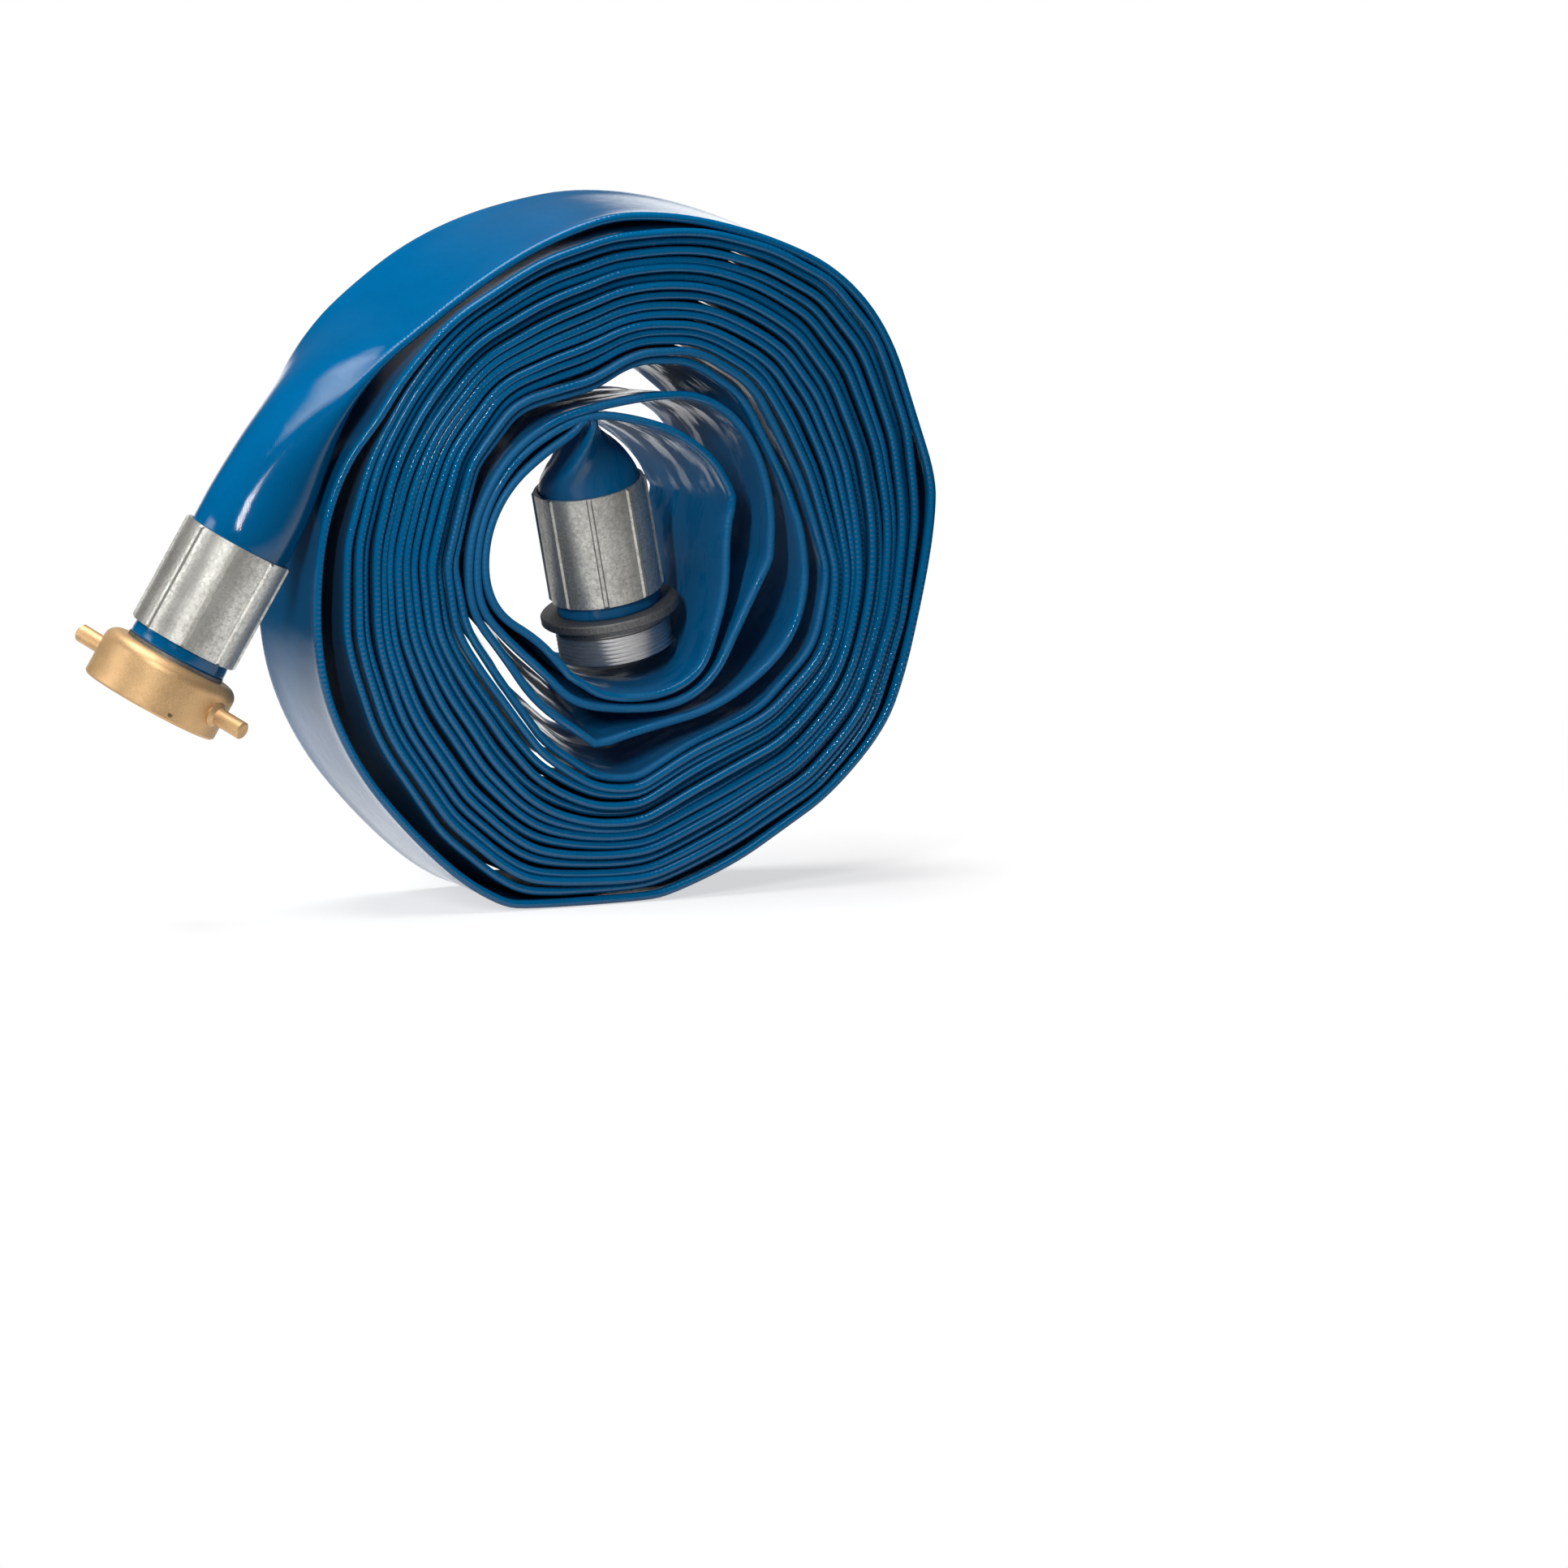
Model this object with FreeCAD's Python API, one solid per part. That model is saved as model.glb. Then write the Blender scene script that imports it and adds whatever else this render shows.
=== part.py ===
import FreeCAD, Part
import math
import os

# Rolled lay-flat hose standing on its rim, with a threaded coupling at each end.
# Millimetres. The roll's axis is along Y and the roll stands on Z = 0. The origin is on
# the floor under the roll's axis, at the middle of the hose's width.

# Hose
HOSE_BORE_RADIUS = 25.9        # inside, when the hose is round
HOSE_LINING = 0.55             # wall of the inner tube
HOSE_YARN = 0.30               # woven yarn between lining and cover
HOSE_COVER = 0.55              # wall of the outer tube
FLAT_AIR = 0.2                 # air left between the two walls of the flat hose

# Shanks: the cast pieces whose tails go into the hose
TAIL_INSET = 9.0               # tail's end back from the ferrule's entry
TAIL_WALL = 2.9
BARB_PITCH = 6.0
BARB_DEPTH = 0.6
HOSE_SHOWING = 7.0             # hose between a ferrule and its shank's shoulder

# Crimped ferrules
FERRULE_LENGTH = 60.0
FERRULE_WALL = 1.9
RIDGE_HEIGHT = 1.1             # ridges between the dies of the crimping press
RIDGE_BASE = 4.2
RIDGE_TOP = 1.6
RIDGE_COUNT = 8
FERRULE_EDGE = 0.5

# Thread, 2 inch with 11.5 turns per inch, as closed rings of true pitch
THREAD_RADIUS = 30.15          # outside of the male thread
THREAD_PITCH = 2.209
THREAD_DEPTH = 1.2
THREAD_CLEARANCE = 0.2
THREAD_TURNS = 7
NUT_TURNS = 6

# Male shank
FLANGE_STEP = 4.9              # flange over the neck's radius
FLANGE_THICKNESS = 5.0
FLANGE_EDGE = 0.8
NECK_STEP = 1.45               # neck over the thread's radius
NECK_LENGTH = 4.0

# Female shank and what turns on it
COLLAR_STEP = 0.3              # collar over the hose's radius
COLLAR_SHOWING = 2.0           # collar between the hose's end and the nut
JOURNAL_CLEARANCE = 0.08
AXIAL_PLAY = 0.4               # nut's back wall to the shank's seat
SEAT_THICKNESS = 3.2
SEAT_CLEARANCE = 0.15          # seat inside the nut's thread, so that it goes in
NUT_WALL = 7.4                 # outside the recess
NUT_BACK_WALL = 5.0
NUT_BACK_ROUND = 6.5
NUT_FRONT_EDGE = 1.2
UNDERCUT = 0.25                # recess over the thread's outside
MOUTH_LAND = 1.4               # plain band at the mouth of the nut
GASKET_THICKNESS = 4.5
GASKET_BORE_STEP = 1.2         # gasket's bore over the waterway's radius
GASKET_GAP = 0.5               # gasket to the shank's seat
GASKET_EDGE = 0.4
LUG_RADIUS = 4.8
LUG_STAND = 19.5               # lug's end from the nut's side
LUG_COLLAR_STEP = 2.1          # collar at a lug's foot over the lug's radius
LUG_COLLAR_REACH = 1.4
LUG_EDGE = 0.7
LUG_TURN = 54.0                # degrees the front lug stands forward of the roll's plane

HOSE_WALL = HOSE_LINING + HOSE_YARN + HOSE_COVER
HOSE_RADIUS = HOSE_BORE_RADIUS + HOSE_WALL
FLAT_WIDTH = math.pi * (HOSE_BORE_RADIUS + HOSE_WALL / 2)
FLAT_THICKNESS = 2 * HOSE_WALL + FLAT_AIR
HALF_THICKNESS = FLAT_THICKNESS / 2

# Where each coupling lies: its hose entry, then its lean in the roll's plane and its nod
# out of that plane, both in degrees from straight down
MALE_ENTRY = FreeCAD.Vector(-5.0, -2.0, 216.5)
MALE_LEAN = 11.4
MALE_NOD = 3.6
FEMALE_ENTRY = FreeCAD.Vector(-208.5, -22.0, 201.5)
FEMALE_LEAN = -28.7
FEMALE_NOD = 6.0

# Outline of the tight part of the roll, as points (x, z) that arcs round off
PACK_OUTLINE = [
    (-56.0, FLAT_THICKNESS), (12.0, FLAT_THICKNESS), (27.0, 7.5), (61.0, 21.5),
    (112.0, 51.5), (142.0, 84.0), (160.0, 140.0), (167.0, 196.0), (160.0, 241.0),
    (143.0, 290.0), (116.0, 322.0), (80.0, 342.0), (40.0, 354.0), (-6.0, 355.5),
    (-50.0, 344.0), (-98.0, 315.0), (-124.0, 285.0), (-147.0, 245.0), (-158.0, 200.0),
    (-157.0, 145.0), (-141.0, 90.0), (-105.0, 37.0), (-70.0, 9.0),
]
PACK_HOLE = [
    (-94.0, 184.0), (-81.0, 234.0), (-56.0, 262.0), (-16.0, 270.0), (6.0, 283.0),
    (38.0, 282.0), (67.0, 263.0), (93.0, 216.0), (110.0, 168.0), (104.0, 131.0),
    (73.0, 101.0), (34.0, 87.0), (5.0, 67.0), (-21.0, 67.0), (-52.0, 84.0),
    (-77.0, 117.0), (-92.0, 150.0),
]
HOLE_SIDE = (7, 8)             # side of the hole on which the loose turns end

# Middle of the loose turns inside the roll, from the fold over the male coupling outwards
LOOSE_TURNS = [
    (-20.0, 254.0), (-44.0, 241.0), (-64.0, 225.0), (-76.5, 202.0), (-78.5, 176.0),
    (-70.0, 156.0), (-48.0, 142.0), (-29.0, 121.0), (-10.0, 108.5), (20.0, 107.5),
    (43.0, 118.0), (52.0, 141.0), (58.0, 163.0), (58.0, 188.0), (62.0, 212.0),
    (51.0, 232.0), (30.0, 248.0), (6.0, 256.0), (-17.0, 260.0),
    (-40.0, 252.0), (-62.0, 237.0), (-77.0, 214.0), (-83.0, 188.0), (-81.0, 160.0),
    (-64.0, 141.0), (-45.0, 124.0), (-28.0, 106.0), (0.0, 101.5), (29.0, 102.0),
    (51.0, 115.0), (66.0, 145.0), (82.0, 176.0), (84.0, 204.0), (77.0, 232.0),
    (63.0, 254.0), (42.0, 266.5), (18.0, 267.5), (-10.0, 264.5),
    (-38.0, 258.5), (-63.0, 242.5), (-80.0, 217.0), (-87.5, 190.0), (-86.0, 158.0),
    (-67.0, 134.0), (-49.0, 107.0), (-15.0, 84.0), (16.0, 92.0), (50.0, 99.0),
    (79.0, 117.0), (96.0, 136.0), (103.5, 163.0),
]
LOOSE_END = (0.46, 0.54)       # shares of the hole's side covered by the last run

# Middle of the outermost turn, from the side of the roll under the tail round to the tail
OUTER_SIDE = (16, 17)          # side of the pack on which the outermost turn starts
OUTER_START = (0.15, 0.95)     # shares of that side covered by the first run
OUTER_TURN = [
    (-168.0, 213.0), (-174.5, 181.0), (-175.0, 146.0), (-168.0, 112.0), (-149.0, 75.0),
    (-121.0, 43.0), (-93.0, 17.5), (-69.0, 5.0), (-56.0, HALF_THICKNESS),
    (12.0, HALF_THICKNESS), (26.0, 4.5), (62.0, 18.5), (89.0, 35.0), (115.0, 51.0),
    (145.0, 83.0), (156.0, 111.0), (164.0, 144.0), (169.5, 170.0), (173.0, 194.0), (173.5, 214.0), (163.0, 246.0),
    (148.0, 293.0), (121.0, 326.0), (84.0, 345.0), (41.0, 359.0), (-3.0, 360.5),
    (-34.0, 353.5), (-66.0, 341.0), (-99.0, 321.0), (-128.0, 296.0), (-150.0, 268.0),
]

WATERWAY_RADIUS = HOSE_BORE_RADIUS - TAIL_WALL
SHOULDER = FERRULE_LENGTH + HOSE_SHOWING
TAIL_LENGTH = SHOULDER - TAIL_INSET
FERRULE_RADIUS = HOSE_RADIUS + FERRULE_WALL
THREAD_LENGTH = THREAD_TURNS * THREAD_PITCH
NECK_RADIUS = THREAD_RADIUS + NECK_STEP
FLANGE_RADIUS = NECK_RADIUS + FLANGE_STEP

COLLAR_RADIUS = HOSE_RADIUS + COLLAR_STEP
NUT_START = SHOULDER + COLLAR_SHOWING
SEAT_START = NUT_START + NUT_BACK_WALL + AXIAL_PLAY
SEAT_END = SEAT_START + SEAT_THICKNESS
NUT_CREST_RADIUS = THREAD_RADIUS - THREAD_DEPTH + THREAD_CLEARANCE
SEAT_RADIUS = NUT_CREST_RADIUS - SEAT_CLEARANCE
RECESS_RADIUS = THREAD_RADIUS + THREAD_CLEARANCE + UNDERCUT
GASKET_BORE_RADIUS = WATERWAY_RADIUS + GASKET_BORE_STEP
GASKET_START = SEAT_END + GASKET_GAP
NUT_THREAD_START = GASKET_START + GASKET_THICKNESS
NUT_MOUTH = NUT_THREAD_START + NUT_TURNS * THREAD_PITCH + MOUTH_LAND
NUT_RADIUS = RECESS_RADIUS + NUT_WALL
LUG_COLLAR_RADIUS = LUG_RADIUS + LUG_COLLAR_STEP
LUG_REACH = NUT_RADIUS + LUG_STAND
LUG_PLACE = (NUT_START + NUT_MOUTH) / 2


def write(node, shape):
    """One piece to its own STEP file."""
    shape.exportStep("parts/" + node + ".step")
    print(node, "valid", shape.isValid(), "solids", len(shape.Solids), "volume", round(shape.Volume, 1))


# Outlines in the roll's plane

def on_plane(x, z):
    return FreeCAD.Vector(x, 0, z)


def left_of(direction):
    """Unit vector a quarter turn to the left of a direction in the roll's plane."""
    unit = FreeCAD.Vector(direction)
    unit.normalize()
    return FreeCAD.Vector(-unit.z, 0, unit.x)


def corner_arc(before, here, after):
    """Three points of the arc that rounds a corner, the path's normal at each, and its radius."""
    run_in = here - before
    run_out = after - here
    half_turn = run_in.getAngle(run_out) / 2
    cut = 0.45 * min(run_in.Length, run_out.Length)
    radius = cut / math.tan(half_turn)
    run_in.normalize()
    run_out.normalize()
    start = here - run_in * cut
    end = here + run_out * cut
    side = 1 if left_of(run_in).dot(run_out) > 0 else -1
    centre = start + left_of(run_in) * (side * radius)
    middle_normal = left_of(run_in + run_out)
    middle = centre - middle_normal * (side * radius)
    return [(start, left_of(run_in)), (middle, middle_normal), (end, left_of(run_out))], radius


def corner_arcs(points, closed):
    """The rounded corners of an outline, in order, and their radii."""
    count = len(points)
    turned = range(count) if closed else range(1, count - 1)
    found = [corner_arc(points[i - 1], points[i], points[(i + 1) % count]) for i in turned]
    return [arc for arc, radius in found], [radius for arc, radius in found]


def line_between(a, b):
    return [Part.LineSegment(a, b).toShape()] if a.distanceToPoint(b) > 1e-4 else []


def edges_along(points, shift, closed):
    """Straight runs and tangent arcs along an outline, moved to its left by a distance."""
    arcs, radii = corner_arcs(points, closed)
    moved = [[point + normal * shift for point, normal in arc] for arc in arcs]
    edges = []
    if not closed:
        first = points[0] + left_of(points[1] - points[0]) * shift
        last = points[-1] + left_of(points[-1] - points[-2]) * shift
        edges += line_between(first, moved[0][0])
    for number, arc in enumerate(moved):
        edges.append(Part.Arc(*arc).toShape())
        if number + 1 < len(moved):
            edges += line_between(arc[2], moved[number + 1][0])
    if closed:
        edges += line_between(moved[-1][2], moved[0][0])
    else:
        edges += line_between(moved[-1][2], last)
    return edges


def across_width(face):
    """A face in the roll's plane, drawn out over the hose's flat width."""
    face.translate(FreeCAD.Vector(0, -FLAT_WIDTH / 2, 0))
    return face.extrude(FreeCAD.Vector(0, FLAT_WIDTH, 0))


def flat_hose(name, points):
    """The flat hose along a route, as one closed solid."""
    near = edges_along(points, HALF_THICKNESS, False)
    far = edges_along(points, -HALF_THICKNESS, False)
    caps = line_between(near[0].Vertexes[0].Point, far[0].Vertexes[0].Point)
    caps += line_between(near[-1].Vertexes[-1].Point, far[-1].Vertexes[-1].Point)
    wire = Part.Wire(Part.__sortEdges__(near + far + caps))
    solid = across_width(Part.Face(wire))
    length = Part.Wire(edges_along(points, 0, False)).Length
    arcs, radii = corner_arcs(points, False)
    print(name, "length", round(length, 1), "radii", [round(radius, 1) for radius in radii])
    print(name, "volume over section times length",
          round(solid.Volume / (length * FLAT_THICKNESS * FLAT_WIDTH), 4))
    return solid


def beside(outline, side, shares, distance):
    """Two points beside one side of an outline, at a distance to its left."""
    start = on_plane(*outline[side[0]])
    end = on_plane(*outline[side[1]])
    shift = left_of(end - start) * distance
    return [start + (end - start) * share + shift for share in shares]


# Hose

def pack():
    """The tight turns of the roll, as one closed solid of their outer shape."""
    outline = [on_plane(x, z) for x, z in PACK_OUTLINE]
    hole = [on_plane(x, z) for x, z in PACK_HOLE]
    outer = Part.Face(Part.Wire(edges_along(outline, 0, True)))
    inner = Part.Face(Part.Wire(edges_along(hole, 0, True)))
    return across_width(outer.cut(inner).Faces[0])


def loose_route():
    last_run = beside(PACK_HOLE, HOLE_SIDE, LOOSE_END, -HALF_THICKNESS)
    return [on_plane(x, z) for x, z in LOOSE_TURNS] + last_run[::-1]


def outer_route():
    first_run = beside(PACK_OUTLINE, OUTER_SIDE, OUTER_START, -HALF_THICKNESS)
    return first_run + [on_plane(x, z) for x, z in OUTER_TURN]


def section_wire(corners, bulges):
    """Closed wire through four corners, straight or bowed out through given points."""
    edges = []
    for number, corner in enumerate(corners):
        following = corners[(number + 1) % 4]
        if bulges:
            edges.append(Part.Arc(corner, bulges[number], following).toShape())
        else:
            edges.append(Part.LineSegment(corner, following).toShape())
    return Part.Wire(edges)


def flat_section(point, direction):
    """Section of the flat hose across a run of its route."""
    up = left_of(direction) * HALF_THICKNESS
    wide = FreeCAD.Vector(0, FLAT_WIDTH / 2, 0)
    return section_wire([point - up - wide, point - up + wide, point + up + wide, point + up - wide], None)


def round_section(place):
    """Section of the round hose at a coupling's entry."""
    def on_circle(degrees):
        angle = math.radians(degrees)
        return place.multVec(FreeCAD.Vector(math.cos(angle), math.sin(angle), 0) * HOSE_RADIUS)
    corners = [on_circle(degrees) for degrees in (-60, 60, 120, 240)]
    bulges = [on_circle(degrees) for degrees in (0, 90, 180, 270)]
    return section_wire(corners, bulges)


def flat_to_round(point, direction, place):
    """The hose between its flat run and the entry of a coupling, as one closed solid."""
    return Part.makeLoft([flat_section(point, direction), round_section(place)], True, True)


# Couplings, each drawn along +Z from its hose entry and then put in place

def coupling_place(entry, lean, nod):
    """Placement whose Z runs out of the coupling's mouth and whose Y stays near the roll's axis."""
    lean = math.radians(lean)
    nod = math.radians(nod)
    out = FreeCAD.Vector(math.sin(lean) * math.cos(nod), math.sin(nod), -math.cos(lean) * math.cos(nod))
    side = FreeCAD.Vector(0, 1, 0).cross(out)
    side.normalize()
    turn = FreeCAD.Rotation(side, out.cross(side), out, "ZXY")
    return FreeCAD.Placement(entry, turn)


def placed(shape, place):
    shape.Placement = place
    return shape


def turned(profile):
    """Solid of revolution about Z from a closed profile of (radius, height) points."""
    points = [FreeCAD.Vector(radius, 0, height) for radius, height in profile]
    face = Part.Face(Part.makePolygon(points + [points[0]]))
    return face.revolve(FreeCAD.Vector(0, 0, 0), FreeCAD.Vector(0, 0, 1), 360)


def ring(inner, outer, start, end):
    return turned([(inner, start), (outer, start), (outer, end), (inner, end)])


def barbs():
    """Outside of a shank's tail: teeth that slope towards the hose's entry."""
    profile = []
    for tooth in range(int(TAIL_LENGTH // BARB_PITCH)):
        start = TAIL_INSET + tooth * BARB_PITCH
        profile.append((HOSE_BORE_RADIUS - BARB_DEPTH, start))
        profile.append((HOSE_BORE_RADIUS, start + BARB_PITCH - BARB_DEPTH))
        profile.append((HOSE_BORE_RADIUS, start + BARB_PITCH))
    return profile


def thread_rings(crest, root, start, turns):
    """Profile of thread rings from a start height, one per turn, each between two half roots."""
    flank = abs(crest - root) * math.tan(math.radians(30))
    land = THREAD_PITCH / 2 - flank
    profile = []
    for turn in range(turns):
        foot = start + turn * THREAD_PITCH + land / 2
        profile.append((root, foot))
        profile.append((crest, foot + flank))
        profile.append((crest, foot + flank + land))
        profile.append((root, foot + 2 * flank + land))
    return profile


def male_shank():
    """Barbed tail, wide flange, neck and male thread in one casting."""
    flange_end = SHOULDER + FLANGE_THICKNESS
    thread_start = flange_end + NECK_LENGTH
    root = THREAD_RADIUS - THREAD_DEPTH
    profile = [(WATERWAY_RADIUS, TAIL_INSET)] + barbs()
    profile.append((HOSE_BORE_RADIUS, SHOULDER))
    profile.append((FLANGE_RADIUS - FLANGE_EDGE, SHOULDER))
    profile.append((FLANGE_RADIUS, SHOULDER + FLANGE_EDGE))
    profile.append((FLANGE_RADIUS, flange_end - FLANGE_EDGE))
    profile.append((FLANGE_RADIUS - FLANGE_EDGE, flange_end))
    profile.append((NECK_RADIUS, flange_end))
    profile.append((NECK_RADIUS, thread_start - (NECK_RADIUS - root) / 2))
    profile.append((root, thread_start))
    profile += thread_rings(THREAD_RADIUS, root, thread_start, THREAD_TURNS)
    profile.append((root, thread_start + THREAD_LENGTH))
    profile.append((WATERWAY_RADIUS, thread_start + THREAD_LENGTH))
    return turned(profile)


def female_shank():
    """Barbed tail, the collar that the nut turns on, and the seat that holds the nut."""
    profile = [(WATERWAY_RADIUS, TAIL_INSET)] + barbs()
    profile.append((HOSE_BORE_RADIUS, SHOULDER))
    profile.append((COLLAR_RADIUS, SHOULDER))
    profile.append((COLLAR_RADIUS, SEAT_START))
    profile.append((SEAT_RADIUS, SEAT_START))
    profile.append((SEAT_RADIUS, SEAT_END))
    profile.append((WATERWAY_RADIUS, SEAT_END))
    return turned(profile)


def ferrule():
    """Steel sleeve pressed in by eight dies, with a narrow ridge standing between each two."""
    blank = ring(HOSE_RADIUS, FERRULE_RADIUS, 0, FERRULE_LENGTH)
    foot = FERRULE_RADIUS - FERRULE_WALL / 2
    top = FERRULE_RADIUS + RIDGE_HEIGHT
    across = [(foot, -RIDGE_BASE / 2), (top, -RIDGE_TOP / 2), (top, RIDGE_TOP / 2), (foot, RIDGE_BASE / 2)]
    corners = [FreeCAD.Vector(x, y, 0) for x, y in across]
    ridge = Part.Face(Part.makePolygon(corners + [corners[0]])).extrude(FreeCAD.Vector(0, 0, FERRULE_LENGTH))
    ridges = []
    for number in range(RIDGE_COUNT):
        copy = ridge.copy()
        copy.rotate(FreeCAD.Vector(0, 0, 0), FreeCAD.Vector(0, 0, 1), (number + 0.5) * 360 / RIDGE_COUNT)
        ridges.append(copy)
    reach = top + FERRULE_EDGE
    envelope = turned([
        (0, 0), (top - 2 * FERRULE_EDGE, 0), (reach, 3 * FERRULE_EDGE),
        (reach, FERRULE_LENGTH - 3 * FERRULE_EDGE), (top - 2 * FERRULE_EDGE, FERRULE_LENGTH),
        (0, FERRULE_LENGTH),
    ])
    return blank.fuse(ridges).common(envelope).removeSplitter()


def lug():
    """One lug of the nut, standing out along +X."""
    foot = NUT_RADIUS - NUT_FRONT_EDGE - LUG_COLLAR_REACH
    collar_top = NUT_RADIUS + LUG_COLLAR_REACH
    blend = LUG_COLLAR_RADIUS - LUG_RADIUS
    solid = turned([
        (0, foot), (LUG_COLLAR_RADIUS, foot), (LUG_COLLAR_RADIUS, collar_top - blend / 2),
        (LUG_RADIUS, collar_top + blend / 2), (LUG_RADIUS, LUG_REACH - LUG_EDGE),
        (LUG_RADIUS - LUG_EDGE, LUG_REACH), (0, LUG_REACH),
    ])
    solid.rotate(FreeCAD.Vector(0, 0, 0), FreeCAD.Vector(0, 1, 0), 90)
    return solid


def nut_blank():
    """Outside of the nut as a solid, its back edge well rounded and its front edge lightly."""
    round_centre = FreeCAD.Vector(NUT_RADIUS - NUT_BACK_ROUND, 0, NUT_START + NUT_BACK_ROUND)
    slant = NUT_BACK_ROUND / math.sqrt(2)
    back = FreeCAD.Vector(NUT_RADIUS - NUT_BACK_ROUND, 0, NUT_START)
    bulge = round_centre + FreeCAD.Vector(slant, 0, -slant)
    side = FreeCAD.Vector(NUT_RADIUS, 0, NUT_START + NUT_BACK_ROUND)
    front_side = FreeCAD.Vector(NUT_RADIUS, 0, NUT_MOUTH - NUT_FRONT_EDGE)
    front = FreeCAD.Vector(NUT_RADIUS - NUT_FRONT_EDGE, 0, NUT_MOUTH)
    edges = [
        Part.LineSegment(FreeCAD.Vector(0, 0, NUT_START), back).toShape(),
        Part.Arc(back, bulge, side).toShape(),
        Part.LineSegment(side, front_side).toShape(),
        Part.LineSegment(front_side, front).toShape(),
        Part.LineSegment(front, FreeCAD.Vector(0, 0, NUT_MOUTH)).toShape(),
        Part.LineSegment(FreeCAD.Vector(0, 0, NUT_MOUTH), FreeCAD.Vector(0, 0, NUT_START)).toShape(),
    ]
    return Part.Face(Part.Wire(edges)).revolve(FreeCAD.Vector(0, 0, 0), FreeCAD.Vector(0, 0, 1), 360)


def nut_inside():
    """What is cut out of the nut: its hole for the collar, the recess and the thread."""
    crest = NUT_CREST_RADIUS
    root = THREAD_RADIUS + THREAD_CLEARANCE
    hole = COLLAR_RADIUS + JOURNAL_CLEARANCE
    back = NUT_START + NUT_BACK_WALL
    thread_end = NUT_THREAD_START + NUT_TURNS * THREAD_PITCH
    profile = [(0, NUT_START - 1), (hole, NUT_START - 1), (hole, back)]
    profile += [(RECESS_RADIUS, back), (RECESS_RADIUS, NUT_THREAD_START)]
    profile.append((root, NUT_THREAD_START))
    profile += thread_rings(crest, root, NUT_THREAD_START, NUT_TURNS)
    profile += [(root, thread_end), (RECESS_RADIUS, NUT_MOUTH), (RECESS_RADIUS, NUT_MOUTH + 1)]
    profile.append((0, NUT_MOUTH + 1))
    return turned(profile)


def swivel_nut():
    """Brass nut with two lugs cast on, free to turn on the female shank's collar."""
    lugs = []
    for angle in (LUG_TURN, LUG_TURN + 180):
        piece = lug()
        piece.rotate(FreeCAD.Vector(0, 0, 0), FreeCAD.Vector(0, 0, 1), angle)
        piece.translate(FreeCAD.Vector(0, 0, LUG_PLACE))
        lugs.append(piece)
    return nut_blank().fuse(lugs).cut(nut_inside())


def gasket():
    """Rubber washer in the nut's recess, which the mating male thread presses on."""
    end = GASKET_START + GASKET_THICKNESS
    return turned([
        (GASKET_BORE_RADIUS, GASKET_START + GASKET_EDGE), (GASKET_BORE_RADIUS + GASKET_EDGE, GASKET_START),
        (RECESS_RADIUS, GASKET_START), (RECESS_RADIUS, end),
        (GASKET_BORE_RADIUS + GASKET_EDGE, end), (GASKET_BORE_RADIUS, end - GASKET_EDGE),
    ])


def hose_layers(end_name, place):
    """The three layers of the hose's wall between a shank's tail and its ferrule."""
    inner = HOSE_BORE_RADIUS
    for layer, wall in (("lining", HOSE_LINING), ("yarn", HOSE_YARN), ("cover", HOSE_COVER)):
        write(end_name + "_end_" + layer, placed(ring(inner, inner + wall, 0, SHOULDER), place))
        inner += wall


os.makedirs("parts", exist_ok=True)
male_place = coupling_place(MALE_ENTRY, MALE_LEAN, MALE_NOD)
female_place = coupling_place(FEMALE_ENTRY, FEMALE_LEAN, FEMALE_NOD)
loose = loose_route()
outer = outer_route()

write("hose_roll", pack())
write("hose_loose_turns", flat_hose("hose_loose_turns", loose))
write("hose_outer_turn", flat_hose("hose_outer_turn", outer))
write("hose_male_end", flat_to_round(loose[0], loose[0] - loose[1], male_place))
write("hose_female_end", flat_to_round(outer[-1], outer[-1] - outer[-2], female_place))
hose_layers("male", male_place)
hose_layers("female", female_place)
write("male_ferrule", placed(ferrule(), male_place))
write("female_ferrule", placed(ferrule(), female_place))
write("male_shank", placed(male_shank(), male_place))
write("female_shank", placed(female_shank(), female_place))
write("swivel_nut", placed(swivel_nut(), female_place))
write("swivel_gasket", placed(gasket(), female_place))
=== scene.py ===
import math

import bpy
import numpy as np
from mathutils import Matrix, Vector


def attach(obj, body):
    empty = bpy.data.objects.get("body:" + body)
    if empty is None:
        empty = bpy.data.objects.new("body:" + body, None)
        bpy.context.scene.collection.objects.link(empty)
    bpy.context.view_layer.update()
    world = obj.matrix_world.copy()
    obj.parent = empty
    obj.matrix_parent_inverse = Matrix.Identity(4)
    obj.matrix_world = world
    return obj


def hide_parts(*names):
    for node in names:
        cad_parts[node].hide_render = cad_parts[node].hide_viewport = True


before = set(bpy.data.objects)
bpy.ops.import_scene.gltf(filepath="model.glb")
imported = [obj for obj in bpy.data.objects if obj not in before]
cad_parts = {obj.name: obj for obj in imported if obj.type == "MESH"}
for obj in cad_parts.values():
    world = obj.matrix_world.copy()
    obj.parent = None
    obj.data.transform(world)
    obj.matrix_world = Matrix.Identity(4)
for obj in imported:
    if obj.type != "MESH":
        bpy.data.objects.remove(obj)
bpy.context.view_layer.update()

# A lay-flat hose rolled up on its rim, with a crimped coupling at each end. Metres, in the
# frame of the CAD model: the roll's axis is along Y, and it stands on Z = 0.

bl_info = {
    "name": "Rolled Lay-Flat Hose",
    "version": (1, 0, 0),
    "blender": (4, 5, 0),
    "location": "3D View > Sidebar > Hose",
    "description": "Lays the rolled hose between its couplings, finishes the couplings and sets the stage",
    "category": "Add Mesh",
}

MM = 0.001
HOSE_BODY = "hose"
STRETCHES = ("hose_roll", "hose_loose_turns", "hose_outer_turn", "hose_male_end", "hose_female_end")
LAYERS = ("lining", "yarn", "cover")

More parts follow.
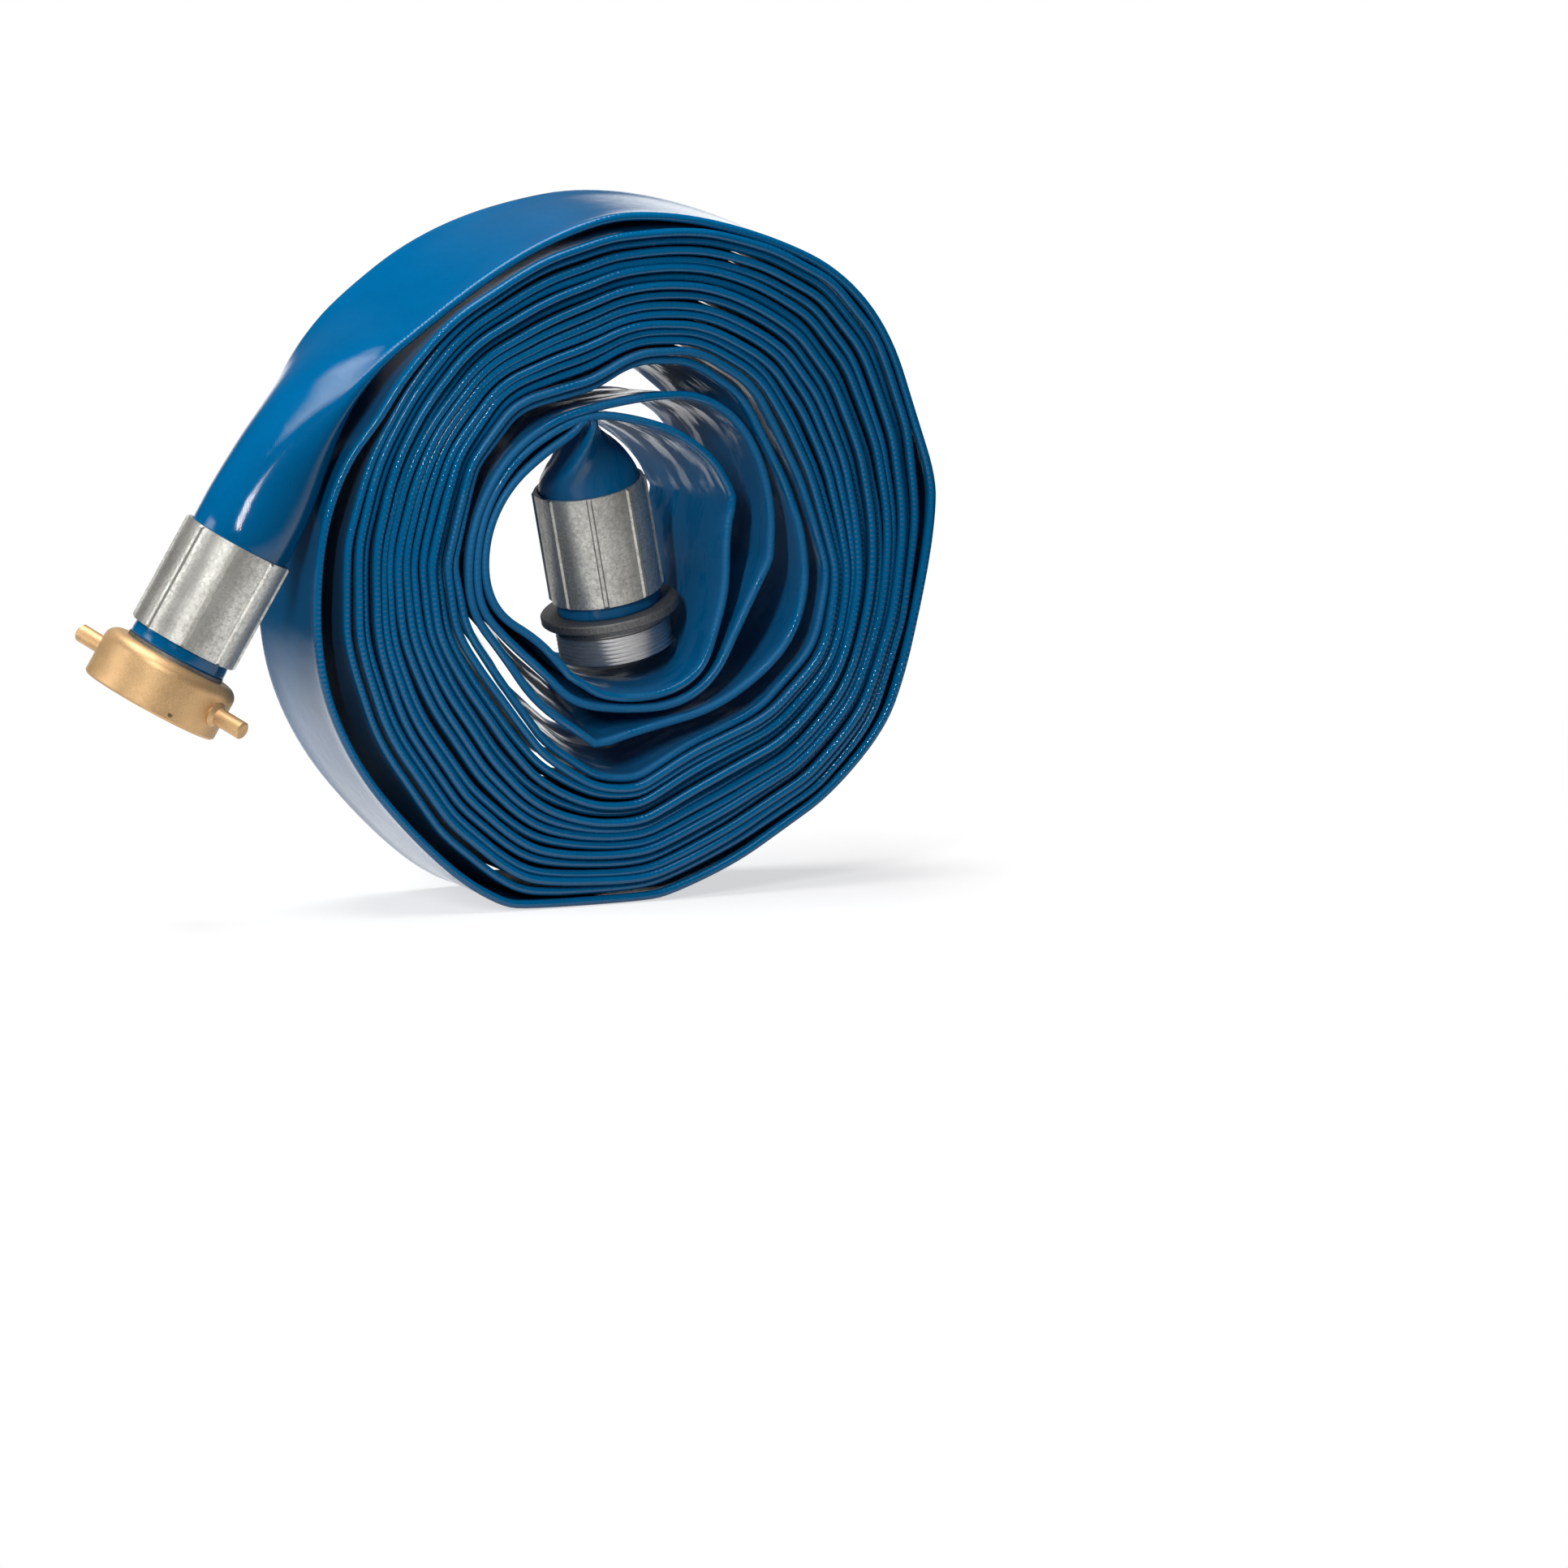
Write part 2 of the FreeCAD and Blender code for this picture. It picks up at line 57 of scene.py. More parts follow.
# Where each coupling lies: its hose entry in millimetres, then its lean in the roll's plane
# and its nod out of that plane, in degrees from straight down
MALE_PLACE = ((-5.0, -2.0, 216.5), 11.4, 3.6)
FEMALE_PLACE = ((-208.5, -22.0, 201.5), -28.7, 6.0)
SLEEVE_LENGTH = 67.0           # from a ferrule's entry to the end of the hose
FERRULE_LENGTH = 60.0
TAIL_INSET = 9.0               # end of a shank's tail back from the ferrule's entry
BORE_RADIUS = 25.95
MALE_TWIST = 58.0              # degrees the folds turn between a ferrule's entry and the flat hose
MALE_TWIST_REACH = 36.0
FEMALE_TWIST = -4.0
FEMALE_TWIST_REACH = 110.0
TAIL_TWIST = 9.0
TAIL_TWIST_REACH = (170.0, 110.0)   # from the sleeve, where the tail's twist starts to fade, and over how far
RIM_RADIUS = 27.0

# Middle of the hose's route, in millimetres. From the fold over the male coupling, whose
# points are (x, y, z), the loose turns run outwards to the tight ones. Their points, and
# those of the outlines and of the outer turn, are (x, z).
FOLD = [(-13.5, -1.0, 250.0), (-17.5, 0.0, 257.5), (-22.5, 0.0, 257.0), (-28.0, 0.0, 250.0)]
LOOSE_TURNS = [
    (-44.0, 241.0), (-64.0, 225.0), (-76.5, 202.0), (-78.5, 176.0),
    (-70.0, 156.0), (-48.0, 142.0), (-32.0, 124.0), (-29.0, 120.5), (-25.0, 118.5),
    (-10.0, 108.5), (20.0, 107.5),
    (43.0, 118.0), (52.0, 141.0), (58.0, 163.0), (58.0, 188.0), (61.5, 209.0),
    (62.0, 212.0), (60.0, 216.0), (51.0, 232.0), (30.0, 248.0), (6.0, 256.0), (-17.0, 260.0),
    (-40.0, 252.0), (-62.0, 237.0), (-77.0, 214.0), (-83.0, 188.0), (-81.0, 160.0),
    (-64.0, 141.0), (-45.0, 124.0), (-28.0, 106.0), (0.0, 101.5), (29.0, 102.0),
    (51.0, 115.0), (66.0, 145.0), (80.5, 173.0), (82.5, 176.0), (83.0, 180.0),
    (84.0, 204.0), (77.0, 232.0),
    (63.0, 254.0), (42.0, 266.5), (18.0, 267.5), (-10.0, 264.5),
    (-38.0, 258.5), (-63.0, 242.5), (-80.0, 217.0), (-87.5, 190.0), (-86.0, 158.0),
    (-67.0, 134.0), (-49.0, 107.0), (-19.0, 86.5), (-15.0, 83.5), (-10.5, 85.0), (16.0, 92.0),
    (50.0, 99.0),
    (79.0, 117.0), (96.0, 136.0), (103.5, 163.0), (100.5, 190.0),
]

# The tight turns run between the outline of the hole and the outline of the pack
PACK_HOLE = [
    (-90.5, 184.0), (-79.0, 233.0), (-56.0, 262.0), (-16.0, 270.0), (6.0, 283.0),
    (38.0, 282.0), (67.0, 263.0), (93.0, 216.0), (110.0, 168.0), (104.0, 131.0),
    (73.0, 101.0), (34.0, 87.0), (5.0, 69.0), (-16.0, 73.0), (-42.0, 92.5),
    (-63.5, 123.0), (-83.5, 151.0),
]
PACK_OUTLINE = [
    (-56.0, 3.0), (12.0, 3.0), (27.0, 7.5), (61.0, 21.5), (112.0, 51.5), (142.0, 84.0),
    (161.0, 140.0), (169.0, 196.0), (163.0, 242.0), (146.0, 292.0), (118.5, 325.0),
    (82.0, 345.0), (41.0, 356.5), (-6.0, 355.5), (-50.0, 344.0), (-98.0, 315.0),
    (-124.0, 285.0), (-148.0, 245.0), (-160.0, 200.0), (-160.0, 145.0), (-143.0, 91.0),
    (-107.0, 39.0), (-71.0, 10.0),
]
PACK_CENTRE = (4.0, 178.0)
PACK_START = 14.0              # degrees round the centre at which the first tight turn starts
PACK_END = 148.0               # degrees at which the last one ends, after the whole turns
SIDE_SLANT = 0.19              # inward, on the right of the loose turns
SIDE_WAY = 28.0                # degrees round the centre at which that slant is greatest
BOTTOM_SLANT = 0.10            # upward, at the bottom of the loose turns
CORNER_SLANT = 0.20            # towards the axis, at the lower left of the outer loose turns
CORNER_WAY = 222.0             # as SIDE_WAY
OUTER_TURN = [
    (-155.0, 243.0), (-167.0, 213.0), (-171.5, 181.0), (-171.5, 146.0), (-164.5, 112.5),
    (-146.5, 77.0), (-119.5, 45.0), (-92.0, 19.0), (-69.0, 5.0), (-56.0, 2.35),
    (12.0, 2.35), (26.0, 4.6), (62.0, 18.5), (89.0, 35.0), (115.0, 51.0), (145.0, 83.0),
    (156.0, 111.0), (164.0, 144.0), (169.5, 170.0), (173.0, 194.0), (173.5, 214.0),
    (163.0, 246.0), (148.0, 293.0), (121.0, 326.0), (84.0, 345.0), (41.0, 359.0),
]
# Middle of the tail, as points (x, y, z), where it leaves the roll for the coupling
TAIL = [
    (3.0, 0.0, 363.5), (-24.0, 0.0, 359.8), (-57.0, 0.5, 349.8), (-89.0, 1.0, 334.0),
    (-117.5, 0.5, 314.5), (-139.5, -2.5, 298.0), (-159.5, -9.0, 277.0), (-178.5, -15.5, 250.0),
    (-193.5, -20.5, 225.5),
]


class HoseSizes(bpy.types.PropertyGroup):
    """Sizes of the hose"""

    flat_width: bpy.props.FloatProperty(
        name="Flat Width", description="Width of the empty hose, over its folds",
        default=84.0 * MM, min=0.02, max=0.3, unit="LENGTH")
    length: bpy.props.FloatProperty(
        name="Length", description="Length of the hose, with what is inside the couplings",
        default=15.24, min=5.0, max=60.0, unit="LENGTH")
    round_radius: bpy.props.FloatProperty(
        name="Round Radius", description="Outside radius where the hose is round",
        default=27.3 * MM, min=0.01, max=0.1, unit="LENGTH")
    fold_thickness: bpy.props.FloatProperty(
        name="Fold Thickness", description="Thickness of the flat hose at its folded edges",
        default=4.5 * MM, min=0.001, max=0.02, unit="LENGTH")
    middle_thickness: bpy.props.FloatProperty(
        name="Middle Thickness", description="Thickness of the flat hose between its folds",
        default=3.0 * MM, min=0.001, max=0.02, unit="LENGTH")
    turns: bpy.props.IntProperty(
        name="Tight Turns", description="Whole tight turns of the roll", default=14, min=4, max=30)
    turn_bias: bpy.props.FloatProperty(
        name="Turn Bias", description="Above 1, the tight turns crowd towards the hole",
        default=1.0, min=0.5, max=2.0)
    sections: bpy.props.IntProperty(
        name="Sections", description="Sections of the mesh along the hose", default=3000, min=500, max=3100)


class HoseFinish(bpy.types.PropertyGroup):
    """Colours of the hose"""

    flat_colour: bpy.props.FloatVectorProperty(
        name="Cover", description="Colour of the hose's cover", subtype="COLOR",
        size=3, default=(0.0, 0.115, 0.30), min=0.0, max=1.0)
    # The fold colour is a lighter blue painted on the rounded folds as a painted highlight.
    fold_highlight_colour: bpy.props.FloatVectorProperty(
        name="Folds", description="Colour of the cover where the folds stretch it", subtype="COLOR",
        size=3, default=(0.0, 0.155, 0.38), min=0.0, max=1.0)
    thread_pitch: bpy.props.FloatProperty(
        name="Yarn Pitch", description="Distance between the yarns that show through the cover",
        default=1.25 * MM, min=0.0003, max=0.01, unit="LENGTH")


class CouplingFinish(bpy.types.PropertyGroup):
    """Colours of the couplings"""

    zinc: bpy.props.FloatVectorProperty(
        name="Zinc", description="Colour of the ferrules' zinc", subtype="COLOR",
        size=3, default=(0.72, 0.71, 0.66), min=0.0, max=1.0)
    aluminium: bpy.props.FloatVectorProperty(
        name="Aluminium", description="Colour of the cast shanks", subtype="COLOR",
        size=3, default=(0.20, 0.20, 0.20), min=0.0, max=1.0)
    brass: bpy.props.FloatVectorProperty(
        name="Brass", description="Colour of the cast nut", subtype="COLOR",
        size=3, default=(0.80, 0.51, 0.25), min=0.0, max=1.0)


class StageSettings(bpy.types.PropertyGroup):
    """Camera and lights"""

    azimuth: bpy.props.FloatProperty(
        name="Azimuth", description="Camera's turn round the roll from straight in front",
        default=math.radians(-22.0), subtype="ANGLE")
    elevation: bpy.props.FloatProperty(
        name="Elevation", description="Camera's height above the horizon",
        default=math.radians(10.0), subtype="ANGLE")
    view_width: bpy.props.FloatProperty(
        name="View Width", description="Width of the view at the roll",
        default=0.821, min=0.1, max=5.0, unit="LENGTH")
    view_centre: bpy.props.FloatVectorProperty(
        name="View Centre", description="Point at the middle of the view", subtype="TRANSLATION",
        size=3, default=(0.1059, 0.0, 0.0495), unit="LENGTH")
    distance: bpy.props.FloatProperty(
        name="Distance", description="Distance of the camera from the middle of the view",
        default=20.0, min=0.5, max=40.0, unit="LENGTH")


TURN_STEP = 6.0                # degrees between the control points of the tight turns
EDGE_REACH = 0.04              # from the route's middle to the line that gives its width, metres
FINE_STEP = MM                 # between the places at which the route's bend is measured
BEND_STEP = 0.07               # radians of bend between sections, before their count scales it
CLOSEST_SECTIONS = 1.1 * MM
WIDEST_SECTIONS = 7.0 * MM
END_SECTIONS = 1.8 * MM
MALE_END = 0.13                # metres of hose at each end with close sections
FEMALE_END = 0.20
MALE_FLATTENING = 45 * MM      # lengths over which the round ends go flat
FEMALE_FLATTENING = 150 * MM
FEMALE_ROUND = 12              # millimetres that stay round past the female ferrule
LOOSE_LENGTH = 2.9             # metres from the male end to where the glossy patches have died away
OUTSIDE_FROM = 13.3            # metres from the male end to where the outermost turn begins
FOLD_BAND = 7 * MM             # how far the fold's painted highlight colour reaches from it
RIM_SOFTNESS = 2.0             # millimetres that the nip at a ferrule's rim spreads
PUCKER_FADE = 9.0              # millimetres over which the puckers die away
PUCKER_HEIGHT = 0.35 * MM
PUCKERED = 130                 # millimetres from the hose's end within which it may pucker

BACKDROP_WAY = (0.375, 0.927, 0.0)   # the way to the white paper behind the roll
LIGHT_AIM = Vector((0.0, 0.0, 0.2))
FLOOR_SIZE = 4.0
FLOOR_DROP = 0.2 * MM          # keeps the floor clear of the roll's base
MACHINED_FROM = {"male": 76.0, "female": 74.0}   # millimetres from the hose entry to turned metal


# Route of the hose

def coupling_frame(place):
    """Origin at a coupling's hose entry, with Z out of its mouth and Y near the roll's axis."""
    entry, lean, nod = place
    lean = math.radians(lean)
    nod = math.radians(nod)
    out = Vector((math.sin(lean) * math.cos(nod), math.sin(nod), -math.cos(lean) * math.cos(nod)))
    side = Vector((0.0, 1.0, 0.0)).cross(out).normalized()
    turn = Matrix((side, out.cross(side), out)).transposed().to_4x4()
    return Matrix.Translation(Vector(entry) * MM) @ turn


def along_coupling(place, distances):
    """Middles and widths of the hose inside a coupling, at distances from its entry in millimetres."""
    frame_there = coupling_frame(place)
    width = frame_there.to_3x3() @ Vector((0.0, 1.0, 0.0))
    return [(frame_there @ Vector((0.0, 0.0, distance * MM)), width) for distance in distances]


def reach_to(outline, degrees):
    """Distance in millimetres from the pack's centre to a closed outline, in one direction."""
    angle = math.radians(degrees)
    along = np.array((math.cos(angle), math.sin(angle)))
    starts = np.array(outline) - PACK_CENTRE
    sides = np.roll(starts, -1, axis=0) - starts
    across = sides[:, 0] * along[1] - sides[:, 1] * along[0]
    share = (starts[:, 1] * along[0] - starts[:, 0] * along[1]) / across
    reach = (starts[:, 1] * sides[:, 0] - starts[:, 0] * sides[:, 1]) / across
    return reach[(share >= 0) & (share <= 1) & (reach > 0)].max()


def ease(value):
    """Smooth step from 0 to 1."""
    value = np.clip(value, 0.0, 1.0)
    return value * value * (3 - 2 * value)


def tight_turns(sizes):
    """Middles and widths of the tight turns, wound from the hole outwards."""
    span = sizes.turns * 360 + PACK_END - PACK_START
    count = round(span / TURN_STEP)
    route = []
    for number in range(count + 1):
        turned = span * number / count
        degrees = PACK_START + turned
        hole = reach_to(PACK_HOLE, degrees) - 1.5 + 4.0 * ease(turned / 80)
        outline = reach_to(PACK_OUTLINE, degrees) - 2.2
        share = (turned / span) ** sizes.turn_bias
        reach = hole + (outline - hole) * share + 3.8 * ease(1 - (span - turned) / 40)
        angle = math.radians(degrees)
        loose = math.radians(turned)
        reach += 0.5 * math.sin(5 * angle + 0.31 * loose) * math.sin(0.21 * loose)
        reach += 0.4 * math.sin(3 * angle - 0.17 * loose)
        aside = 1.8 * math.sin(0.47 * loose) + 1.2 * math.sin(1.31 * loose + 1.0)
        middle = (PACK_CENTRE[0] + reach * math.cos(angle), aside, PACK_CENTRE[1] + reach * math.sin(angle))
        tilt = 0.008 * math.sin(0.61 * loose + 0.5)
        lean = slant(degrees, 1 - ease(turned / 800), 1 - ease((turned - 180) / 800))
        left = ease((turned - span + 350) / 30) * (1 - ease((turned - span + 230) / 60))
        flare = 0.085 * left * max(0.0, math.cos(angle - math.radians(205)))
        flare += 0.03 * ease((turned - span + 200) / 40) * (1 - ease((turned - span + 60) / 50))
        lean = lean + Vector((flare * math.cos(angle), 0.0, flare * math.sin(angle)))
        width = Vector((-tilt * math.cos(angle), 1.0, -tilt * math.sin(angle))) + lean
        route.append((Vector(middle) * MM + lean * sizes.flat_width / 2, width.normalized()))
    return route


def in_plane(points):
    """Middles and widths of a stretch that lies square across the roll."""
    return [(Vector((x, 0.0, z)) * MM, Vector((0.0, 1.0, 0.0))) for x, z in points]


def slant(degrees, share, corner_share):
    """How far, for each millimetre of width, the hose slants in towards its back edge."""
    angle = math.radians(degrees)
    side = SIDE_SLANT * max(0.0, math.cos(angle - math.radians(SIDE_WAY))) * share
    corner = CORNER_SLANT * max(0.0, math.cos(angle - math.radians(CORNER_WAY))) ** 2 * corner_share
    rise = BOTTOM_SLANT * max(0.0, -math.sin(angle)) * share
    inward = side + corner
    return Vector((-inward * math.cos(angle), 0.0, rise - inward * math.sin(angle)))


def loose_route(sizes):
    """Middles and widths of the loose turns, which keep their front edges on the route."""
    route = []
    half = sizes.flat_width / 2
    for number, (x, z) in enumerate(LOOSE_TURNS):
        degrees = math.degrees(math.atan2(z - PACK_CENTRE[1], x - PACK_CENTRE[0]))
        lean = slant(degrees, 1.0, ease((number - 8) / 30))
        width = (Vector((0.0, 1.0, 0.0)) + lean).normalized()
        route.append((Vector((x, 0.0, z)) * MM + lean * half, width))
    return route


def whole_route(sizes):
    """Middles and widths of the hose's control points, from the male end to the female end."""
    male = along_coupling(MALE_PLACE, (SLEEVE_LENGTH, 45.0, 22.0, 0.0, -8.0, -20.0))
    female = along_coupling(FEMALE_PLACE, (-8.0, 0.0, 22.0, 45.0, SLEEVE_LENGTH))
    tail = [(Vector(point) * MM, Vector((0.0, 1.0, 0.0))) for point in TAIL]
    fold = [(Vector(point) * MM, Vector((0.0, 1.0, 0.0))) for point in FOLD]
    return male + fold + loose_route(sizes) + tight_turns(sizes) + in_plane(OUTER_TURN) + tail + female


def smooth_line(name, points):
    """Close points along the NURBS curve that a route's points control."""
    curve = bpy.data.curves.new(name, "CURVE")
    curve.dimensions = "3D"
    curve.resolution_u = 16
    spline = curve.splines.new("NURBS")
    spline.points.add(len(points) - 1)
    for knot, point in zip(spline.points, points):
        knot.co = (*point, 1.0)
    spline.order_u = 3
    spline.use_endpoint_u = True
    spline.resolution_u = 16
    holder = bpy.data.objects.new(name, curve)
    bpy.context.scene.collection.objects.link(holder)
    mesh = bpy.data.meshes.new_from_object(holder)
    line = np.zeros(len(mesh.vertices) * 3)
    mesh.vertices.foreach_get("co", line)
    bpy.data.objects.remove(holder)
    bpy.data.curves.remove(curve)
    bpy.data.meshes.remove(mesh)
    return line.reshape(-1, 3)


def unit(vectors):
    return vectors / np.linalg.norm(vectors, axis=1, keepdims=True)


def stations(sizes):
    """Distance, middle, width and outward direction of each section along the hose."""
    route = whole_route(sizes)
    middles = smooth_line("hose_middle", [middle for middle, width in route])
    edges = smooth_line("hose_edge", [middle + width * EDGE_REACH for middle, width in route])
    widths = unit(edges - middles)
    steps = np.linalg.norm(np.diff(middles, axis=0), axis=1)
    distance = np.concatenate(([0.0], np.cumsum(steps)))
    even = np.linspace(0, distance[-1], int(distance[-1] / FINE_STEP))
    line = np.stack([np.interp(even, distance, middles[:, axis]) for axis in range(3)], axis=1)
    ahead = unit(np.gradient(line, axis=0))
    bend = np.linalg.norm(np.gradient(ahead, axis=0), axis=1) / FINE_STEP
    spacing = np.clip(BEND_STEP / np.maximum(bend, 1e-3), CLOSEST_SECTIONS, WIDEST_SECTIONS)
    sleeves = (even < MALE_END) | (even > distance[-1] - FEMALE_END)
    spacing[sleeves] = np.minimum(spacing[sleeves], END_SECTIONS)
    spacing = np.convolve(np.pad(spacing, 10, mode="edge"), np.ones(21) / 21, mode="valid")
    count = np.cumsum(1 / spacing)
    places = np.interp(np.linspace(count[0], count[-1], sizes.sections), count, even)
    middle = np.stack([np.interp(places, distance, middles[:, axis]) for axis in range(3)], axis=1)
    width = np.stack([np.interp(places, distance, widths[:, axis]) for axis in range(3)], axis=1)
    forward = unit(np.gradient(middle, axis=0))
    width = unit(width - forward * (width * forward).sum(axis=1, keepdims=True))
    outward = np.cross(width, forward)
    turn = np.radians(MALE_TWIST) * (1 - ease((places / MM - SLEEVE_LENGTH) / MALE_TWIST_REACH))
    female = (distance[-1] - places) / MM - SLEEVE_LENGTH
    turn += np.radians(TAIL_TWIST) * (1 - ease((female - TAIL_TWIST_REACH[0]) / TAIL_TWIST_REACH[1]))
    turn = (turn + np.radians(FEMALE_TWIST) * (1 - ease(female / FEMALE_TWIST_REACH)))[:, None]
    turned = width * np.cos(turn) + outward * np.sin(turn)
    outward = outward * np.cos(turn) - width * np.sin(turn)
    return places, distance[-1], middle, turned, outward


# Sections of the hose

HALF_TURN_POINTS = 16
FLAT_STEPS = [0.0, 1.1, 2.2, 3.3, 6.0, 11.0, 20.0, 32.0]


def girth_steps(half_girth):
    """Distances round half the girth: close at the folds for a flat section, even for a round one."""
    first = np.array(FLAT_STEPS) * MM
    flat = np.concatenate((first, half_girth - first[::-1]))
    even = np.linspace(0, half_girth, HALF_TURN_POINTS)
    return flat, even


def half_section(steps, bead, half_girth):
    """Width and height of points at distances round half a section with rounded folds."""
    quarter = math.pi * bead / 2
    straight = np.maximum(half_girth - 2 * quarter, 0)
    front = steps / bead
    back = (steps - quarter - straight) / bead
    wide = straight / 2 - (steps - quarter)
    high = np.broadcast_to(bead, steps.shape)
    near = steps < quarter
    far = steps > quarter + straight
    wide = np.where(near, straight / 2 + bead * np.cos(front), wide)
    high = np.where(near, bead * np.sin(front), high)
    wide = np.where(far, -straight / 2 - bead * np.sin(back), wide)
    high = np.where(far, bead * np.cos(back), high)
    return wide, high, straight / 2


def roundness(places, length):
    """1 where the hose is round, inside and beside the couplings, and 0 where it is flat."""
    male = 1 - (places - SLEEVE_LENGTH * MM) / MALE_FLATTENING
    female = 1 - (length - (SLEEVE_LENGTH + FEMALE_ROUND) * MM - places) / FEMALE_FLATTENING
    return np.maximum(np.clip(male, 0, 1), ease(female))


def hose_rings(sizes):
    """Rings of points of the hose's outside, the place of each ring and each point's way round it."""
    places, length, middle, width, outward = stations(sizes)
    half_girth = math.pi * sizes.round_radius
    flat, even = girth_steps(half_girth)
    full = roundness(places, length)[:, None]
    steps = flat * (1 - full) + even * full
    wide, high, straight = half_section(steps, sizes.fold_thickness / 2, half_girth)
    round_wide, round_high = half_section(steps, sizes.round_radius, half_girth)[:2]
    wide = wide * (1 - full) + round_wide * full
    high = high * (1 - full) + round_high * full
    hollow = 1 - sizes.middle_thickness / sizes.fold_thickness
    inside = ease((straight - np.abs(wide)) / (6 * MM)) * (1 - full) ** 4
    high = high * (1 - hollow * inside)
    wide = np.concatenate((wide, wide[:, -2:0:-1]), axis=1)
    high = np.concatenate((high, -high[:, -2:0:-1]), axis=1)
    round_it = np.concatenate((steps, 2 * half_girth - steps[:, -2:0:-1]), axis=1)
    wide, high = crimped(wide, high, places, length, sizes)
    points = middle[:, None, :] + width[:, None, :] * wide[..., None] + outward[:, None, :] * high[..., None]
    return points, places, round_it


def crimped(wide, high, places, length, sizes):
    """The round ends drawn in at the ferrules' rims, with the small puckers beside them."""
    for end in (0, 1):
        depth = np.abs(places - end * length) / MM
        inside = (depth > SLEEVE_LENGTH - FERRULE_LENGTH) & (depth < SLEEVE_LENGTH)
        rim = np.minimum(np.abs(depth - SLEEVE_LENGTH), np.abs(depth - SLEEVE_LENGTH + FERRULE_LENGTH))
        near = np.exp(-(rim / RIM_SOFTNESS) ** 2)
        pucker = np.exp(-np.maximum(depth - SLEEVE_LENGTH, 0) / PUCKER_FADE)
        pucker = pucker * (1 - near) * (depth < PUCKERED)
        pucker = pucker * np.where(depth < SLEEVE_LENGTH - FERRULE_LENGTH, 0.9, 1.0)
        angle = np.arctan2(high, wide)
        wave = np.sin(9 * angle + 1.3 * end) + 0.6 * np.sin(14 * angle + 2.0 + depth[:, None] * 0.12)
        scale = 1 - (near * (1 - RIM_RADIUS * MM / sizes.round_radius))[:, None]
        scale = scale + (PUCKER_HEIGHT / sizes.round_radius) * wave * np.where(inside, 0, pucker)[:, None]
        wide = wide * scale
        high = high * scale
    return wide, high


def end_rings(place):
    """Rings of the hose's bore inside a coupling, from its closed depth to its mouth."""
    there = coupling_frame(place)
    profile = [(-8.0, 8.0), (-4.0, 18.0), (TAIL_INSET, BORE_RADIUS), (40.0, BORE_RADIUS),
               (SLEEVE_LENGTH, BORE_RADIUS)]
    half = np.linspace(0, math.pi, HALF_TURN_POINTS)
    angles = np.concatenate((half, 2 * math.pi - half[-2:0:-1]))
    rings = []
    for along, radius in profile:
        across = radius * MM
        rings.append([there @ Vector((across * math.sin(angle), across * math.cos(angle), along * MM))
                      for angle in angles])
    return np.array(rings), np.array([along * MM for along, radius in profile])


def build_hose(sizes):
    """The whole hose as one closed tube."""
    points, places, round_it = hose_rings(sizes)
    length = places[-1]
    male, male_along = end_rings(MALE_PLACE)
    female, female_along = end_rings(FEMALE_PLACE)
    male = nearest_turn(male, points[0])
    female = nearest_turn(female, points[-1])
    rings = np.concatenate((male, points, female[::-1]))
    around = np.concatenate((np.repeat(round_it[:1], len(male), 0), round_it,
                             np.repeat(round_it[-1:], len(female), 0)))
    female_places = length + female_along[-1] - female_along[::-1]
    along = np.concatenate((male_along - male_along[-1], places, female_places))
    full = np.concatenate((np.ones(len(male)), roundness(places, length), np.ones(len(female))))
    return tube_mesh("lay_flat_hose", rings, around, along, full, 2 * math.pi * sizes.round_radius)


def nearest_turn(rings, target):
    """The rings with their points in the order that lies nearest the target ring's points."""
    best = None
    for ordered in (rings, rings[:, ::-1]):
        for shift in range(rings.shape[1]):
            moved = np.roll(ordered, shift, axis=1)
            gap = np.linalg.norm(moved[-1] - target, axis=1).sum()
            if best is None or gap < best[0]:
                best = (gap, moved)
    return best[1]


def tube_mesh(name, rings, around, along, full, girth):
    """Closed mesh through rings of points, with a UV map in metres and the fold attribute."""
    count, size = rings.shape[:2]
    first = np.arange(count - 1)[:, None] * size + np.arange(size)
    second = np.arange(count - 1)[:, None] * size + (np.arange(size) + 1) % size
    faces = np.stack((first, second, second + size, first + size), axis=2).reshape(-1, 4)
    caps = [list(range(size))[::-1], list(range((count - 1) * size, count * size))]
    mesh = bpy.data.meshes.new(name)
    mesh.from_pydata(rings.reshape(-1, 3).tolist(), [], faces.tolist() + caps)
    mesh.update()
    flat_around = around.reshape(-1)
    flat_along = np.repeat(along, size)
    corners = faces.reshape(-1)
    u = flat_around[corners].reshape(-1, 4)
    seam = (np.arange(len(faces)) % size) == size - 1
    u[seam, 1:3] = girth
    v = flat_along[corners].reshape(-1, 4)
    uv = mesh.uv_layers.new(name="Hose")
    values = np.zeros((len(mesh.loops), 2))
    values[: u.size, 0] = u.reshape(-1)
    values[: v.size, 1] = v.reshape(-1)
    uv.data.foreach_set("uv", values.reshape(-1))
    half = girth / 2
    from_fold = np.minimum(np.mod(flat_around, half), half - np.mod(flat_around, half))
    folded = (1 - ease(from_fold / FOLD_BAND)) * np.repeat(1 - full, size)
    fold = mesh.attributes.new("fold", "FLOAT", "POINT")
    fold.data.foreach_set("value", folded)
    made = bpy.data.objects.new(name, mesh)
    bpy.context.scene.collection.objects.link(made)
    if signed_volume(rings, faces) < 0:
        mesh.flip_normals()
    mesh.shade_smooth()
    return made


def signed_volume(rings, faces):
    points = rings.reshape(-1, 3)
    a, b, c, d = (points[faces[:, corner]] for corner in range(4))
    return (np.einsum("ij,ij->i", a, np.cross(b, c)) + np.einsum("ij,ij->i", a, np.cross(c, d))).sum() / 6


# Materials

